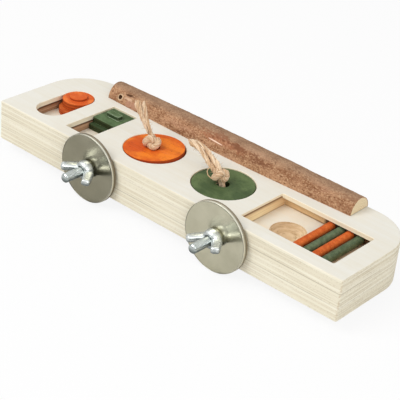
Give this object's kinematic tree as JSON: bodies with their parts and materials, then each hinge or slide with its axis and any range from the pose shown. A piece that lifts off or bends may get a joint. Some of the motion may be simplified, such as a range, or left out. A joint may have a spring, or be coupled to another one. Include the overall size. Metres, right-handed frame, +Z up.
{
  "type": "bird_foraging_board",
  "caption": "Plywood foraging board for small cage birds with sliders, lids on ropes, a tray of loose rods, a natural half-round perch and wing-nut clamps for the cage wires",
  "frame": {"origin": "the middle of the board's front face, midway between the two hanger bolts at half the board's thickness", "axes": "X along the board towards the tray, Y from the front face towards the perch, Z up out of the top face"},
  "size_m": [0.2754, 0.0999, 0.0616],
  "materials": {
    "plywood": "sanded bare birch plywood",
    "bark": "dry natural bark",
    "orange_wood": "orange water stain, matte",
    "green_wood": "green water stain, matte",
    "sisal": "twisted sisal rope",
    "zinc": "bright zinc plate",
    "washer_steel": "polished steel with fine turning marks"
  },
  "bodies": {
    "board": {"top_board": "plywood", "middle_board": "plywood", "bottom_board": "plywood", "perch": "bark", "perch_screws": "zinc", "hanger_bolt_left": "zinc", "hanger_bolt_right": "zinc", "inner_washer_left": "washer_steel", "inner_washer_right": "washer_steel"},
    "round_slider": {"round_slider_flange": "orange_wood", "round_slider_plate": "orange_wood", "round_slider_knob": "orange_wood"},
    "square_slider": {"square_slider_flange": "green_wood", "square_slider_plate": "green_wood", "square_slider_knob": "green_wood"},
    "orange_lid_set": {"orange_lid": "orange_wood", "orange_rope": "sisal", "orange_knot": "sisal", "orange_stop_knot": "sisal"},
    "green_lid_set": {"green_lid": "green_wood", "green_rope": "sisal", "green_knot": "sisal", "green_stop_knot": "sisal"},
    "rod_4_set": {"rod_4": "green_wood"},
    "rod_3_set": {"rod_3": "orange_wood"},
    "rod_2_set": {"rod_2": "green_wood"},
    "rod_1_set": {"rod_1": "orange_wood"},
    "left_washer_set": {"outer_washer_left": "washer_steel"},
    "right_washer_set": {"outer_washer_right": "washer_steel"},
    "left_nut_set": {"wing_nut_left": "zinc"},
    "right_nut_set": {"wing_nut_right": "zinc"}
  },
  "joints": [
    {"name": "round_slider_travel", "type": "slide", "parent": "board", "child": "round_slider", "axis": [0, -1, 0], "range_m": [0, 0.0226]},
    {"name": "square_slider_travel", "type": "slide", "parent": "board", "child": "square_slider", "axis": [0, -1, 0], "range_m": [0, 0.023]},
    {"name": "orange_lid_lift", "type": "slide", "parent": "board", "child": "orange_lid_set", "axis": [0, 0, 1], "range_m": [0, 0.03]},
    {"name": "green_lid_lift", "type": "slide", "parent": "board", "child": "green_lid_set", "axis": [0, 0, 1], "range_m": [0, 0.03]},
    {"name": "rod_4_travel", "type": "slide", "parent": "board", "child": "rod_4_set", "axis": [-1, 0, 0], "range_m": [-0.0074, 0.02]},
    {"name": "rod_3_travel", "type": "slide", "parent": "rod_4_set", "child": "rod_3_set", "axis": [-1, 0, 0], "range_m": [-0.0016, 0.004]},
    {"name": "rod_2_travel", "type": "slide", "parent": "rod_3_set", "child": "rod_2_set", "axis": [-1, 0, 0], "range_m": [-0.0009, 0.004]},
    {"name": "rod_1_travel", "type": "slide", "parent": "rod_2_set", "child": "rod_1_set", "axis": [-1, 0, 0], "range_m": [-0.0018, 0.004]},
    {"name": "left_clamp_travel", "type": "slide", "parent": "board", "child": "left_washer_set", "axis": [0, -1, 0], "range_m": [0, 0.0096]},
    {"name": "left_nut_spin", "type": "hinge", "parent": "left_washer_set", "child": "left_nut_set", "pos_m": [-0.052, 0, 0.0013], "axis": [0, -1, 0], "range_deg": [0, 3456]},
    {"name": "right_clamp_travel", "type": "slide", "parent": "board", "child": "right_washer_set", "axis": [0, -1, 0], "range_m": [0, 0.0096]},
    {"name": "right_nut_spin", "type": "hinge", "parent": "right_washer_set", "child": "right_nut_set", "pos_m": [0.052, 0, 0.0013], "axis": [0, -1, 0], "range_deg": [0, 3456]}
  ],
  "couplings": [
    {"joint": "left_nut_spin", "follows": "left_clamp_travel", "rad_per_m": 6283.2},
    {"joint": "right_nut_spin", "follows": "right_clamp_travel", "rad_per_m": 6283.2}
  ]
}
